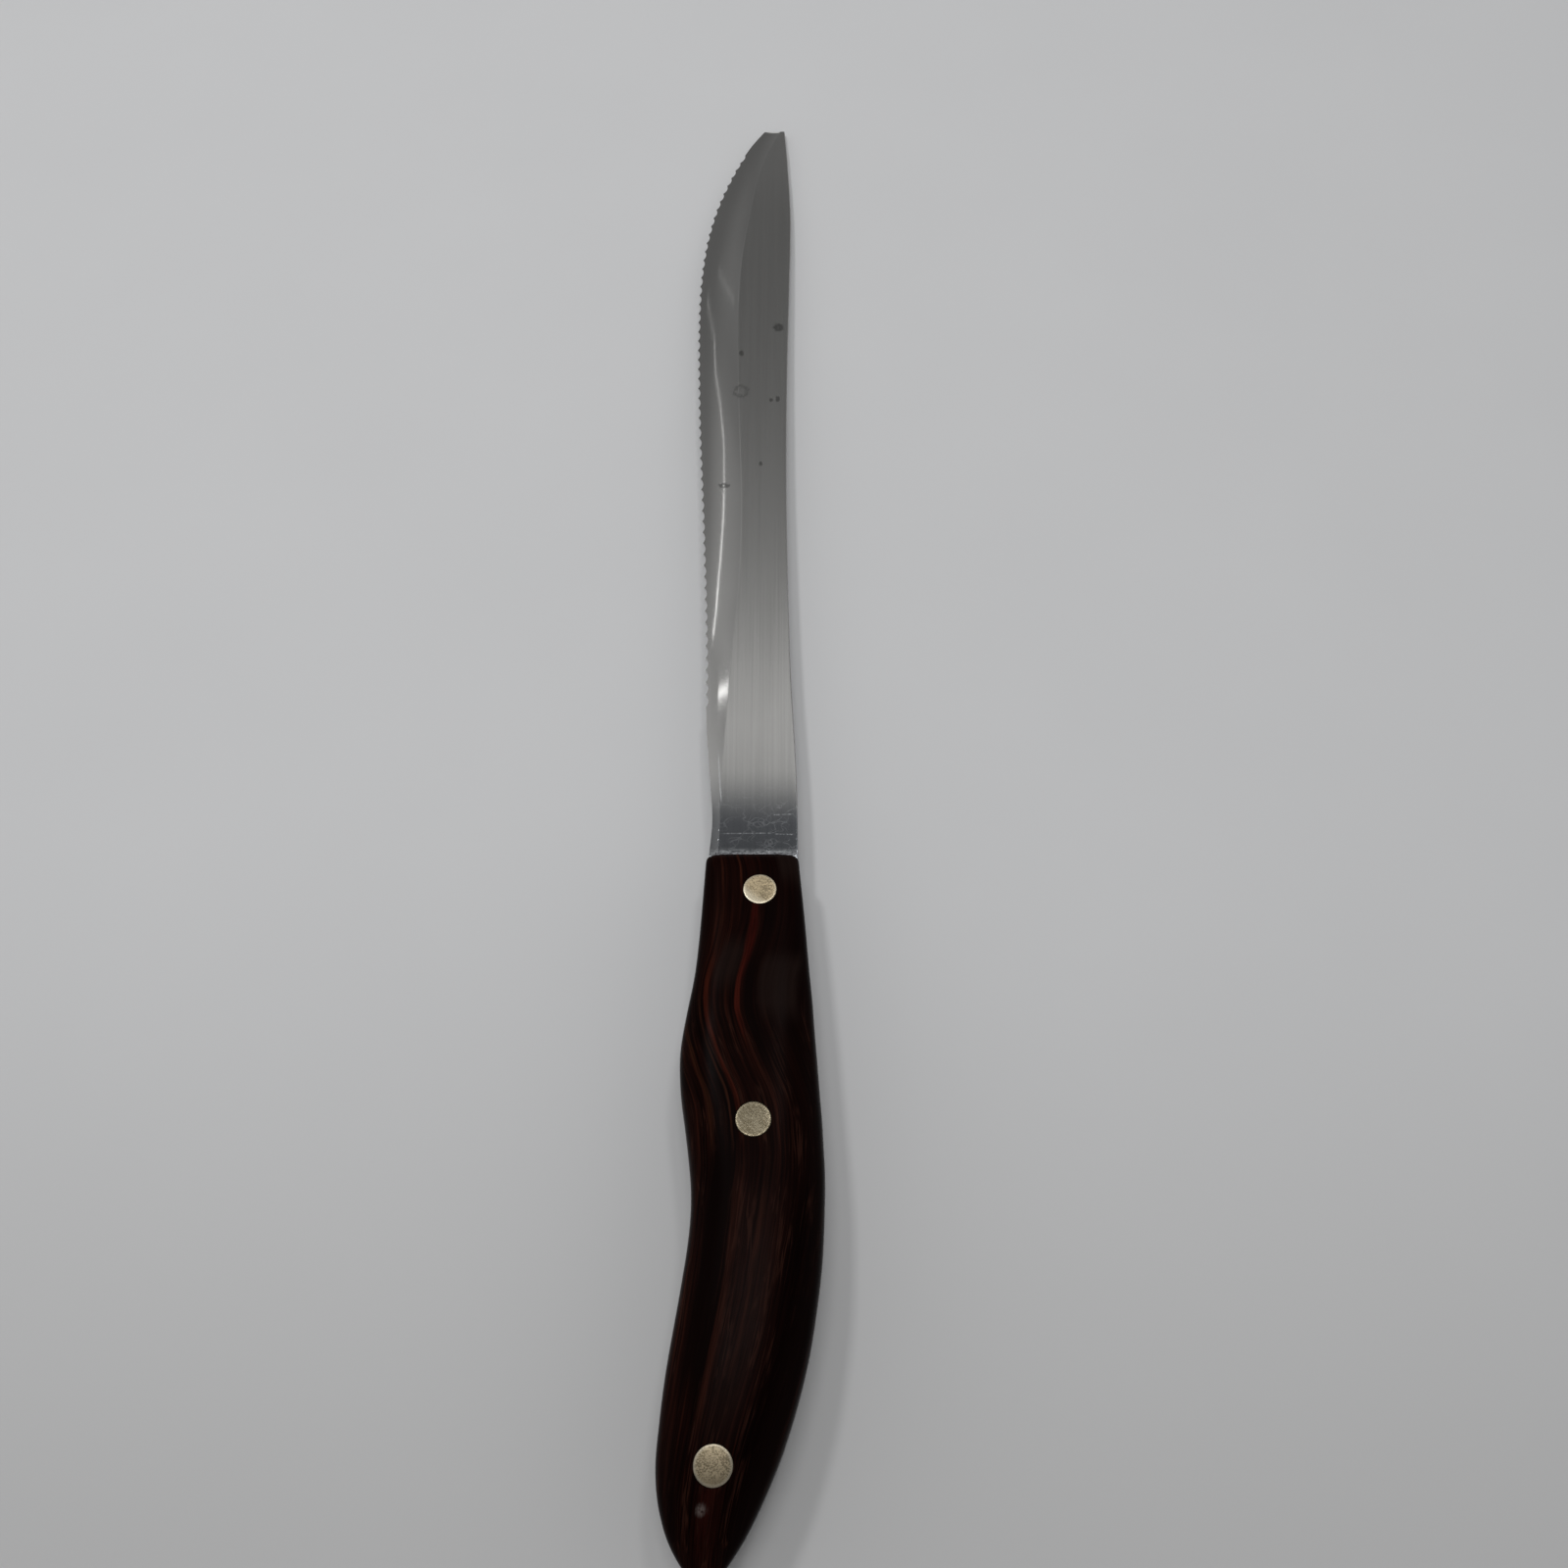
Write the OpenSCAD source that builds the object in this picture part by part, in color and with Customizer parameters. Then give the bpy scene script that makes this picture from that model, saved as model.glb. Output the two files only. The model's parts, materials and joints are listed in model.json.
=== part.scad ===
// Long serrated steak knife: a hollow-ground blade whose full tang is riveted between two contoured scales.
// The knife lies on its right side. +Y runs to the tip, +X to the spine and +Z out of the left side.
// The origin is the middle of the knife's footprint, on the surface that it lies on.

/* [Blade] */
// Length of the blade, from the front of the grip to the square tip
blade_length = 214.8; // [150:0.1:300]
// Width of the blade across its belly
blade_width = 22.1; // [16:0.1:32]
// Thickness of the steel at the tang and the heel
steel_thickness = 2; // [1.4:0.1:3]
// Thickness of the blade's flats at the tip
tip_thickness = 1.4; // [0.8:0.1:2]
// Thickness that the hollow grind leaves at the cutting edge
edge_thickness = 0.3; // [0.1:0.05:0.6]
// Radius of the hollow across the grind
hollow_radius = 47; // [42:1:200]
// Length of full-thickness steel that shows in front of the grip
heel_length = 1.2; // [0.6:0.1:6]

/* [Teeth] */
// Spacing of the scallops along the cutting edge
tooth_pitch = 3.06; // [2:0.02:5]
// Depth of a scallop
tooth_depth = 0.5; // [0.2:0.05:0.9]
// How much deeper a scallop cuts on the right side, which it is ground from, as a share of its depth
tooth_bevel_share = 0.6; // [0:0.1:1]
// Length of plain edge between the grip and the first scallop
plain_heel_length = 35.7; // [10:0.1:90]
// Length of plain edge between the last scallop and the tip
plain_tip_length = 7.5; // [4:0.5:60]

/* [Grip] */
// Length of the grip, from its front face to the nose of the butt
grip_length = 125.3; // [100:0.1:150]
// Width of the grip across the finger swell, as a share of the blade's width, so that the two stay matched
grip_width_share = 1.122; // [1:0.002:1.3]
// Thickness of the grip across both scales
grip_thickness = 17.4; // [13:0.1:24]
// Radius that rounds the scales' front edges
front_radius = 1.4; // [0.6:0.1:2.5]
// Squareness of the scales' crown towards the butt, where 2 is a plain ellipse
crown_power = 2.6; // [2:0.1:4]
// Squareness of the scales' crown at their front face
front_crown_power = 5.5; // [2:0.1:7]

/* [Rivets] */
// Diameter of the rivet heads
head_diameter = 6.35; // [5:0.05:9]
// Depth of a rivet head below the scale's surface
head_depth = 2; // [1:0.1:3]
// Outside diameter of the socket's barrel
barrel_diameter = 4; // [3.4:0.1:4.6]
// Diameter of the stud's shank
shank_diameter = 2.6; // [1.8:0.1:3]
// Place of the front rivet, as a share of the grip's length from its front face
front_rivet_share = 0.068; // [0.06:0.001:0.15]
// Distance of the front rivet from the grip's centre line, towards the spine
front_rivet_across = 1.4; // [-2:0.1:2]
// Place of the middle rivet, as a share of the grip's length from its front face
middle_rivet_share = 0.428; // [0.3:0.002:0.6]
// Distance of the middle rivet from the grip's centre line, towards the spine
middle_rivet_across = 0; // [-2:0.1:2]
// Place of the rear rivet, as a share of the grip's length from its front face
rear_rivet_share = 0.867; // [0.75:0.001:0.88]
// Distance of the rear rivet from the grip's centre line, towards the spine
rear_rivet_across = -0.3; // [-1:0.1:1]

/* [Fits] */
// Radial clearance of a rivet in the scales and the tang
rivet_clearance = 0.05; // [0.02:0.01:0.15]
// Radial clearance of a stud's shank in its socket
shank_clearance = 0.02; // [0.01:0.01:0.05]
// Gap that the squeezed rivet leaves beyond the shank and the barrel
squeeze_gap = 0.3; // [0.1:0.05:0.8]

/* [Hidden] */
$fn = 48;
FRONT = 0;
MIDDLE = 1;
REAR = 2;

// How far every cutter runs past what it cuts
overrun = 1;

// Outline of the blade: shares of its length from the grip, and of its width from the middle of the heel
spine_shares = [
    [0, 0.396], [0.088, 0.384], [0.227, 0.327], [0.437, 0.296], [0.607, 0.307],
    [0.737, 0.332], [0.846, 0.347], [0.946, 0.311], [1, 0.278],
];
edge_shares = [
    [0, -0.396], [0.043, -0.37], [0.088, -0.403], [0.148, -0.448], [0.258, -0.486], [0.398, -0.552],
    [0.548, -0.63], [0.687, -0.666], [0.777, -0.637], [0.852, -0.53], [0.922, -0.33], [0.971, -0.125], [1, 0.04],
];
// Width of the hollow grind, measured in from the cutting edge, as shares of the blade's length and width
grind_shares = [
    [0, 0.08], [0.057, 0.07], [0.088, 0.105], [0.153, 0.185], [0.238, 0.26], [0.308, 0.34],
    [0.428, 0.412], [0.707, 0.44], [0.807, 0.436], [0.857, 0.41], [0.927, 0.31], [1, 0.2],
];

// Outline of the grip: shares of its length from the front face, and of its width
centre_shares = [
    [0, -0.005], [0.128, 0.006], [0.209, 0.003], [0.311, -0.018], [0.377, -0.001], [0.432, 0.029],
    [0.513, 0.06], [0.595, 0.043], [0.696, -0.027], [0.797, -0.121], [0.889, -0.215], [0.949, -0.252], [1, -0.262],
];
half_width_shares = [
    [0, 0.359], [0.068, 0.383], [0.189, 0.428], [0.255, 0.468], [0.321, 0.5], [0.382, 0.502],
    [0.463, 0.483], [0.544, 0.467], [0.645, 0.474], [0.747, 0.467], [0.843, 0.416], [0.889, 0.364],
    [0.934, 0.281], [0.975, 0.159], [1, 0],
];
// Height of a scale above the tang, as shares of the grip's length and of the greatest height
height_shares = [
    [0, 0.51], [0.02, 0.62], [0.068, 0.69], [0.23, 0.86], [0.382, 0.97], [0.513, 1], [0.696, 0.97],
    [0.848, 0.86], [0.929, 0.66], [0.975, 0.4], [1, 0],
];

// Sampling of the curved surfaces
heel_steps = 8;
scallop_steps = 4;
tip_steps = 4;
grip_steps = 46;
crown_steps = 16;
front_steps = 3;
hollow_steps = 3;
slope_step_share = 0.01;
// How fast the crown's squareness fades behind the front face
crown_fade = 4;

grip_width = blade_width * grip_width_share;
scale_height = (grip_thickness - steel_thickness) / 2;
grind_max_share = max([for (entry = grind_shares) entry[1]]);
rivet_along = [for (share = [front_rivet_share, middle_rivet_share, rear_rivet_share]) grip_length * share];
rivet_across = [front_rivet_across, middle_rivet_across, rear_rivet_across];

// Smooth curve through a table of [position, value] points
function rise(table, i) = (table[i + 1][1] - table[i][1]) / (table[i + 1][0] - table[i][0]);
function tangent(table, i) =
    i == 0 ? rise(table, 0)
    : i == len(table) - 1 ? rise(table, i - 1)
    : (table[i + 1][1] - table[i - 1][1]) / (table[i + 1][0] - table[i - 1][0]);
function span_at(table, at, i = 0) = i >= len(table) - 2 || at < table[i + 1][0] ? i : span_at(table, at, i + 1);
function curve(table, at) =
    let (
        i = span_at(table, at),
        span = table[i + 1][0] - table[i][0],
        s = (at - table[i][0]) / span
    )
    table[i][1] * (1 + 2 * s) * pow(1 - s, 2)
    + tangent(table, i) * span * s * pow(1 - s, 2)
    + table[i + 1][1] * (3 - 2 * s) * pow(s, 2)
    + tangent(table, i + 1) * span * (s - 1) * pow(s, 2);
// Curve through the squares of the values, so that a value falling to zero closes with a round nose
function squares(table) = [for (entry = table) [entry[0], pow(entry[1], 2)]];
function round_curve(table, at) = sqrt(max(0, curve(squares(table), at)));

// Blade in plan: y is the distance in front of the grip
function blade_share(y) = min(1, max(0, y / blade_length));
function spine_x(y) = blade_width * curve(spine_shares, blade_share(y));
function edge_x(y) = blade_width * curve(edge_shares, blade_share(y));
function grind_width(y) = blade_width * curve(grind_shares, blade_share(y));
function edge_slope(y) =
    let (step = blade_length * slope_step_share)
    (edge_x(y + step / 2) - edge_x(y - step / 2)) / step;

// Half thickness of the flats, and height of the hollow at a share of the grind's width from the edge
function flat_z(y) =
    let (taper = max(0, (y - heel_length) / (blade_length - heel_length)))
    (steel_thickness + (tip_thickness - steel_thickness) * taper) / 2;
function grind_depth(y) =
    (flat_z(y) - edge_thickness / 2) * grind_width(y) / (blade_width * grind_max_share);
function hollow_z(y, share) =
    flat_z(y) - grind_depth(y) * (1 - share) - pow(grind_width(y), 2) / (2 * hollow_radius) * share * (1 - share);

// Grip in plan and height: d is the distance behind the front face
function centre_x(d) = grip_width * curve(centre_shares, d / grip_length);
function half_width(d) = grip_width * round_curve(half_width_shares, d / grip_length);
function height_at(d) = scale_height * round_curve(height_shares, d / grip_length);
function power_at(d) =
    crown_power + (front_crown_power - crown_power) * pow(max(0, 1 - d / grip_length), crown_fade);
function crown(u, d) = pow(max(0, 1 - pow(abs(u), power_at(d))), 1 / power_at(d));
function surface_z(x, d) = height_at(d) * crown((x - centre_x(d)) / half_width(d), d);
function front_inset(d) =
    d < front_radius ? front_radius - sqrt(pow(front_radius, 2) - pow(front_radius - d, 2)) : 0;

// Places of the sections along the grip, closer together towards the butt
grip_places = [
    for (i = [0:grip_steps])
        front_radius + (grip_length - front_radius) * sin(90 * i / (grip_steps + 0.5))
];
front_places = [for (i = [0:front_steps - 1]) front_radius * (1 - cos(90 * i / front_steps))];

// Points of the teeth, an even pitch apart along the curved edge
function tooth_points(y) =
    y > blade_length - plain_tip_length ? []
    : concat([y], tooth_points(y + tooth_pitch * cos(atan(edge_slope(y)))));
teeth = tooth_points(plain_heel_length);
last_tooth = teeth[len(teeth) - 1];

// Sections along the blade, each with its distance from the grip and the depth that a scallop cuts there
blade_stations = concat(
    [
        for (i = [0:heel_steps - 1])
            [heel_length + (plain_heel_length - heel_length) * i / heel_steps, 0]
    ],
    [
        for (k = [0:len(teeth) - 2], i = [0:scallop_steps - 1])
            let (share = i / scallop_steps)
            [teeth[k] + (teeth[k + 1] - teeth[k]) * share, 4 * tooth_depth * share * (1 - share)]
    ],
    [for (i = [0:tip_steps]) [last_tooth + (blade_length - last_tooth) * i / tip_steps, 0]]
);
blade_places = [for (station = blade_stations) station[0]];

// Footprint of the knife, which puts the origin at its middle
footprint_x = concat(
    [for (y = blade_places) edge_x(y)],
    [for (y = blade_places) spine_x(y)],
    [for (d = grip_places) centre_x(d) - half_width(d)],
    [for (d = grip_places) centre_x(d) + half_width(d)]
);
footprint_middle = [(min(footprint_x) + max(footprint_x)) / 2, (blade_length - grip_length) / 2];

// Closed surface through a row of rings that have the same number of points
module loft(rings) {
    count = len(rings[0]);
    last = len(rings) - 1;
    sides = [
        for (i = [0:last - 1], j = [0:count - 1])
            let (
                a = i * count + j,
                b = i * count + (j + 1) % count,
                c = (i + 1) * count + (j + 1) % count,
                d = (i + 1) * count + j
            )
            each [[a, b, c], [a, c, d]]
    ];
    first_cap = [for (j = [count - 1:-1:0]) j];
    last_cap = [for (j = [0:count - 1]) last * count + j];
    polyhedron(points = [for (ring = rings) each ring], faces = concat(sides, [first_cap, last_cap]), convexity = 6);
}

// Moves a piece from the grip's front face on the tang's mid plane to the knife's own origin
module place() {
    translate([-footprint_middle.x, -footprint_middle.y, grip_thickness / 2]) children();
}

// Blade and tang, one piece of steel: the blade is drawn as sections from the tip back to the heel
// Points of one side, from the cutting edge, or from as far in as a scallop cuts, to the grind line
function side_points(y, cut) =
    let (width = grind_width(y))
    [
        for (j = [0:hollow_steps])
            let (share = (cut + (width - cut) * j / hollow_steps) / width)
            [edge_x(y) + width * share, y, hollow_z(y, share)]
    ];
function turned_over(points) = [for (i = [len(points) - 1:-1:0]) [points[i].x, points[i].y, -points[i].z]];
function blade_ring(station) =
    let (y = station[0], cut = station[1], spine = [[spine_x(y), y, flat_z(y)]])
    concat(
        side_points(y, cut), spine,
        turned_over(concat(side_points(y, cut * (1 + tooth_bevel_share)), spine))
    );

module ground_blade() {
    loft([for (i = [len(blade_stations) - 1:-1:0]) blade_ring(blade_stations[i])]);
}

// Tang and heel, flat and of full thickness, with the same outline as the scales
module tang() {
    linear_extrude(steel_thickness, center = true) polygon(concat(
        [for (d = grip_places) [centre_x(d) + half_width(d), -d]],
        [for (i = [grip_steps:-1:0]) [centre_x(grip_places[i]) - half_width(grip_places[i]), -grip_places[i]]],
        [[edge_x(0), 0], [edge_x(heel_length), heel_length]],
        [[spine_x(heel_length), heel_length], [spine_x(0), 0]]
    ));
}

module blade() {
    color("silver") place() union() {
        ground_blade();
        difference() {
            tang();
            for (i = [FRONT:REAR]) at_rivet(i) barrel_hole();
        }
    }
}

// Scales, drawn as the left one with its flat back on z = 0
function scale_ring(d) =
    let (
        inset = front_inset(d),
        width = half_width(d) - inset,
        height = height_at(d) - inset
    )
    [
        for (j = [0:crown_steps])
            let (u = -cos(180 * j / crown_steps))
            [centre_x(d) + width * u, -d, height * crown(u, d)]
    ];

module scale_shell() {
    loft([for (d = concat(front_places, grip_places)) scale_ring(d)]);
}

module scale_half() {
    translate([0, 0, steel_thickness / 2]) difference() {
        scale_shell();
        for (i = [FRONT:REAR]) at_rivet(i) {
            barrel_hole();
            translate([0, 0, seat_z(i)])
                cylinder(h = grip_thickness, d = head_diameter + 2 * rivet_clearance);
        }
    }
}

module left_scale() {
    color("saddlebrown") place() scale_half();
}

module right_scale() {
    color("saddlebrown") place() mirror([0, 0, 1]) scale_half();
}

// Rivets: a stud from the left, pressed into a socket from the right, with both heads ground flush
function rivet_x(i) = centre_x(rivet_along[i]) + rivet_across[i];
function rivet_surface_z(i) = surface_z(rivet_x(i), rivet_along[i]);
function seat_z(i) = rivet_surface_z(i) - head_depth;
// Slope of the scale's surface under a rivet, towards +X and +Y
function rivet_slope(i) =
    let (step = head_diameter * slope_step_share, x = rivet_x(i), d = rivet_along[i])
    [
        (surface_z(x + step, d) - surface_z(x - step, d)) / (2 * step),
        (surface_z(x, d - step) - surface_z(x, d + step)) / (2 * step),
    ];

module at_rivet(i) {
    translate([rivet_x(i), -rivet_along[i], 0]) children();
}

module barrel_hole() {
    cylinder(h = 2 * grip_thickness, d = barrel_diameter + 2 * rivet_clearance, center = true);
}

// Head that stands on its seat and is ground off level with the scale around it
module flush_head(i) {
    slope = rivet_slope(i);
    tilt = atan(norm(slope));
    axis = tilt == 0 ? [1, 0, 0] : [slope.y, -slope.x, 0];
    difference() {
        translate([0, 0, seat_z(i)]) cylinder(h = head_depth + head_diameter, d = head_diameter);
        translate([0, 0, rivet_surface_z(i)]) rotate(tilt, axis)
            translate([-head_diameter, -head_diameter, 0])
                cube([2 * head_diameter, 2 * head_diameter, 2 * (head_depth + head_diameter)]);
    }
}

// Height of a head's seat above the tang's mid plane
function seat_height(i) = steel_thickness / 2 + seat_z(i);

module rivet_stud(i) {
    color("tan") place() at_rivet(i) union() {
        translate([0, 0, steel_thickness / 2]) flush_head(i);
        translate([0, 0, squeeze_gap - seat_height(i)])
            cylinder(h = 2 * seat_height(i) - squeeze_gap + head_depth / 2, d = shank_diameter);
    }
}

module rivet_socket(i) {
    barrel_top = seat_height(i) - squeeze_gap;
    color("tan") place() at_rivet(i) difference() {
        union() {
            mirror([0, 0, 1]) translate([0, 0, steel_thickness / 2]) flush_head(i);
            translate([0, 0, -seat_height(i) - head_depth / 2])
                cylinder(h = barrel_top + seat_height(i) + head_depth / 2, d = barrel_diameter);
        }
        translate([0, 0, -seat_height(i)])
            cylinder(h = barrel_top + seat_height(i) + overrun, d = shank_diameter + 2 * shank_clearance);
    }
}

blade();
left_scale();
right_scale();
rivet_stud(FRONT);  // front_rivet_stud
rivet_socket(FRONT);  // front_rivet_socket
rivet_stud(MIDDLE);  // middle_rivet_stud
rivet_socket(MIDDLE);  // middle_rivet_socket
rivet_stud(REAR);  // rear_rivet_stud
rivet_socket(REAR);  // rear_rivet_socket
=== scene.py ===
import json
import math

import bmesh
import bpy
import numpy as np
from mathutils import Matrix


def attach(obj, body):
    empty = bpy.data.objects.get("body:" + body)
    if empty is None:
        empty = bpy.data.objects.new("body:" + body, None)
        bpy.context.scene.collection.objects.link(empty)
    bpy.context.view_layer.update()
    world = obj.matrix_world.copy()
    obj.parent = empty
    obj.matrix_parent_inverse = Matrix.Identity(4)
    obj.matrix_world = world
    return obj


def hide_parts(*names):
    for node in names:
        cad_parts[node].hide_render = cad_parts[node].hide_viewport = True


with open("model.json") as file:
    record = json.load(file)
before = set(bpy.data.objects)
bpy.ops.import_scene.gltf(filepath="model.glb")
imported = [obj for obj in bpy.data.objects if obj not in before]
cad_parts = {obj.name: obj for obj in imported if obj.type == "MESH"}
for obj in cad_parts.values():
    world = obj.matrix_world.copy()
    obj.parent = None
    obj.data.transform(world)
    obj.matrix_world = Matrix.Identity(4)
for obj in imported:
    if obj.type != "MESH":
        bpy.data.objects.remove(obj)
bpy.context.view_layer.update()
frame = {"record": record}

# Blade and tang.
# One blank of stainless steel, thinned to a square tip, with a full tang that fills the grip.
# The edge is hollow ground on both sides, and the scallops are then ground into it from the right.
MM = 0.001
blade_length = 214.8 * MM
blade_width = 22.1 * MM
steel_thickness = 2 * MM
tip_thickness = 1.4 * MM
edge_thickness = 0.3 * MM
hollow_radius = 47 * MM
heel_length = 1.2 * MM
corner_radius = 0.15 * MM
tooth_pitch = 3.06 * MM
tooth_depth = 0.5 * MM
tooth_bevel_share = 0.6
plain_heel_length = 35.7 * MM
plain_tip_length = 7.5 * MM
grip_length = 125.3 * MM
grip_width = 1.122 * blade_width
grip_front = 1.4 * MM
tip_inset = 0.1 * MM
tip_bevel_length = 0.12 * MM
heel_step = 0.02 * MM
heel_sections = 40
tip_sections = 16
tang_sections = 90
tooth_samples = 8
# The last section of the grip stops a hair short of the butt's point, as an angle before the pole
nose_gap = 0.012

spine_shares = [
    (0, 0.396), (0.088, 0.384), (0.227, 0.327), (0.437, 0.296), (0.607, 0.307),
    (0.737, 0.332), (0.846, 0.347), (0.946, 0.311), (1, 0.278),
]
edge_shares = [
    (0, -0.396), (0.043, -0.37), (0.088, -0.403), (0.148, -0.448), (0.258, -0.486), (0.398, -0.552),
    (0.548, -0.63), (0.687, -0.666), (0.777, -0.637), (0.852, -0.53), (0.922, -0.33), (0.971, -0.125),
    (1, 0.04),
]
grind_shares = [
    (0, 0.08), (0.057, 0.07), (0.088, 0.105), (0.153, 0.185), (0.238, 0.26), (0.308, 0.34),
    (0.428, 0.412), (0.707, 0.44), (0.807, 0.436), (0.857, 0.41), (0.927, 0.31), (1, 0.2),
]
centre_shares = [
    (0, -0.005), (0.128, 0.006), (0.209, 0.003), (0.311, -0.018), (0.377, -0.001), (0.432, 0.029),
    (0.513, 0.06), (0.595, 0.043), (0.696, -0.027), (0.797, -0.121), (0.889, -0.215), (0.949, -0.252),
    (1, -0.262),
]
half_width_shares = [
    (0, 0.359), (0.068, 0.383), (0.189, 0.428), (0.255, 0.468), (0.321, 0.5), (0.382, 0.502),
    (0.463, 0.483), (0.544, 0.467), (0.645, 0.474), (0.747, 0.467), (0.843, 0.416), (0.889, 0.364),
    (0.934, 0.281), (0.975, 0.159), (1, 0),
]

# The heel's mount gives the place of the grip's front face on the mid plane of the steel.
heel_mount = next(m for m in frame["record"]["mounts"] if m["name"] == "blade_slide")
grip_face = np.array(heel_mount["pos_m"]) - (0, heel_length, 0)


def curve(table, at):
    """Smooth curve through a table of (position, value) points."""
    place, value = np.array(table, float).T
    slope = np.empty_like(value)
    slope[1:-1] = (value[2:] - value[:-2]) / (place[2:] - place[:-2])
    slope[0] = (value[1] - value[0]) / (place[1] - place[0])
    slope[-1] = (value[-1] - value[-2]) / (place[-1] - place[-2])
    i = np.clip(np.searchsorted(place, at, side="right") - 1, 0, len(place) - 2)
    span = place[i + 1] - place[i]
    s = (at - place[i]) / span
    return (
        value[i] * (1 + 2 * s) * (1 - s) ** 2
        + slope[i] * span * s * (1 - s) ** 2
        + value[i + 1] * (3 - 2 * s) * s**2
        + slope[i + 1] * span * (s - 1) * s**2
    )


def round_curve(table, at):
    """Curve through the squares of the values, which closes a falling value with a round nose."""
    return np.sqrt(np.maximum(0, curve([(p, v * v) for p, v in table], at)))


def edge_x(y):
    return blade_width * curve(edge_shares, np.clip(y / blade_length, 0, 1))


def spine_x(y):
    return blade_width * curve(spine_shares, np.clip(y / blade_length, 0, 1))


def grind_width(y):
    return blade_width * curve(grind_shares, np.clip(y / blade_length, 0, 1))


def flat_height(y):
    taper = np.maximum(0, (y - heel_length) / (blade_length - heel_length))
    return (steel_thickness + (tip_thickness - steel_thickness) * taper) / 2


def grind_depth(y):
    widest = blade_width * max(share for _, share in grind_shares)
    return (flat_height(y) - edge_thickness / 2) * grind_width(y) / widest


def centre_x(d):
    return grip_width * curve(centre_shares, d / grip_length)


def half_width(d):
    return grip_width * round_curve(half_width_shares, d / grip_length)


# Tooth points an even pitch apart along the curved edge, and sections along the whole blank
slope_step = 0.01 * blade_length
tooth_points = [plain_heel_length]
while tooth_points[-1] <= blade_length - plain_tip_length:
    y = tooth_points[-1]
    lean = (edge_x(y + slope_step / 2) - edge_x(y - slope_step / 2)) / slope_step
    tooth_points.append(y + tooth_pitch * math.cos(math.atan(lean)))
tooth_points.pop()
toothed_places = [
    a + (b - a) * i / tooth_samples
    for a, b in zip(tooth_points[:-1], tooth_points[1:])
    for i in range(tooth_samples)
]
blade_places = np.concatenate([
    np.linspace(heel_length + heel_step, plain_heel_length, heel_sections, endpoint=False),
    toothed_places,
    np.linspace(tooth_points[-1], blade_length - tip_bevel_length, tip_sections),
    [blade_length],
])
tang_turns = np.linspace(math.pi / 2 - nose_gap, 0, tang_sections)
tang_places = np.concatenate([
    -(grip_front + (grip_length - grip_front) * np.sin(tang_turns)),
    [0, heel_length],
])
hollow_places = np.array([0, 0.03, 0.08, 0.15, 0.24, 0.34, 0.44, 0.54, 0.64, 0.74, 0.83, 0.91, 0.97, 1])
flat_places = np.array([0.008, 0.1, 0.3, 0.5, 0.7, 0.9, 0.99, 1])
corner_turns = np.radians([30, 60, 90])


def blade_side(y):
    """Points of the blade's left side at one section, from the cutting edge to the spine."""
    width, flat = grind_width(y), flat_height(y)
    inset = tip_inset if y == blade_length else 0
    edge, spine = edge_x(y), spine_x(y) - inset
    sag = width**2 / (2 * hollow_radius)
    hollow = [
        (edge + width * s, flat - grind_depth(y) * (1 - s) - sag * s * (1 - s) - inset * s)
        for s in hollow_places
    ]
    start = edge + width
    level = [(start + (spine - corner_radius - start) * t, flat - inset) for t in flat_places]
    corner = [
        (spine - corner_radius * (1 - math.sin(a)), flat - inset - corner_radius * (1 - math.cos(a)))
        for a in corner_turns
    ]
    return hollow + level + corner


def tang_side(y):
    """Points of the tang's left side at one section, in the same number as the blade's."""
    if y < 0:
        d = max(-y, grip_front)
        low, high = centre_x(d) - half_width(d), centre_x(d) + half_width(d)
    else:
        low, high = edge_x(y), spine_x(y)
    radius = min(corner_radius, (high - low) / 4)
    top = steel_thickness / 2
    across = [radius * (1 - math.sin(a)) for a in corner_turns]
    down = [radius * (1 - math.cos(a)) for a in corner_turns]
    low_corner = [(low + a, top - b) for a, b in zip(across[::-1], down[::-1])]
    level_count = len(hollow_places) + len(flat_places) - len(low_corner)
    level = [(x, top) for x in np.linspace(low + radius, high - radius, level_count)]
    high_corner = [(high - a, top - b) for a, b in zip(across, down)]
    return low_corner + level + high_corner


def loft(rings, name):
    """Closed mesh through rings of alike points; each ring's second half faces its first half."""
    rings = np.array(rings)
    stations, count, _ = rings.shape
    across = count // 2
    faces = []
    for i in range(stations - 1):
        for j in range(count):
            k = (j + 1) % count
            faces.append((i * count + j, i * count + k, (i + 1) * count + k, (i + 1) * count + j))
    last = (stations - 1) * count
    for j in range(across - 1):
        facing = count - 1 - j
        faces.append((facing, facing - 1, j + 1, j))
        faces.append((last + j, last + j + 1, last + facing - 1, last + facing))
    mesh = bpy.data.meshes.new(name)
    mesh.from_pydata(rings.reshape(-1, 3).tolist(), [], faces)
    mesh.validate()
    return mesh


def blank_ring(y, side):
    left = [(x, y, z) for x, z in side]
    right = [(x, y, -z) for x, z in reversed(side)]
    return [tuple(grip_face + point) for point in left + right]


blank_places = np.concatenate([tang_places, blade_places])
blank_sides = [tang_side(y) for y in tang_places] + [blade_side(y) for y in blade_places]
blank_rings = [blank_ring(y, side) for y, side in zip(blank_places, blank_sides)]
blade = bpy.data.objects.new("knife_blade", loft(blank_rings, "knife_blade"))
bpy.context.collection.objects.link(blade)

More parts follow.
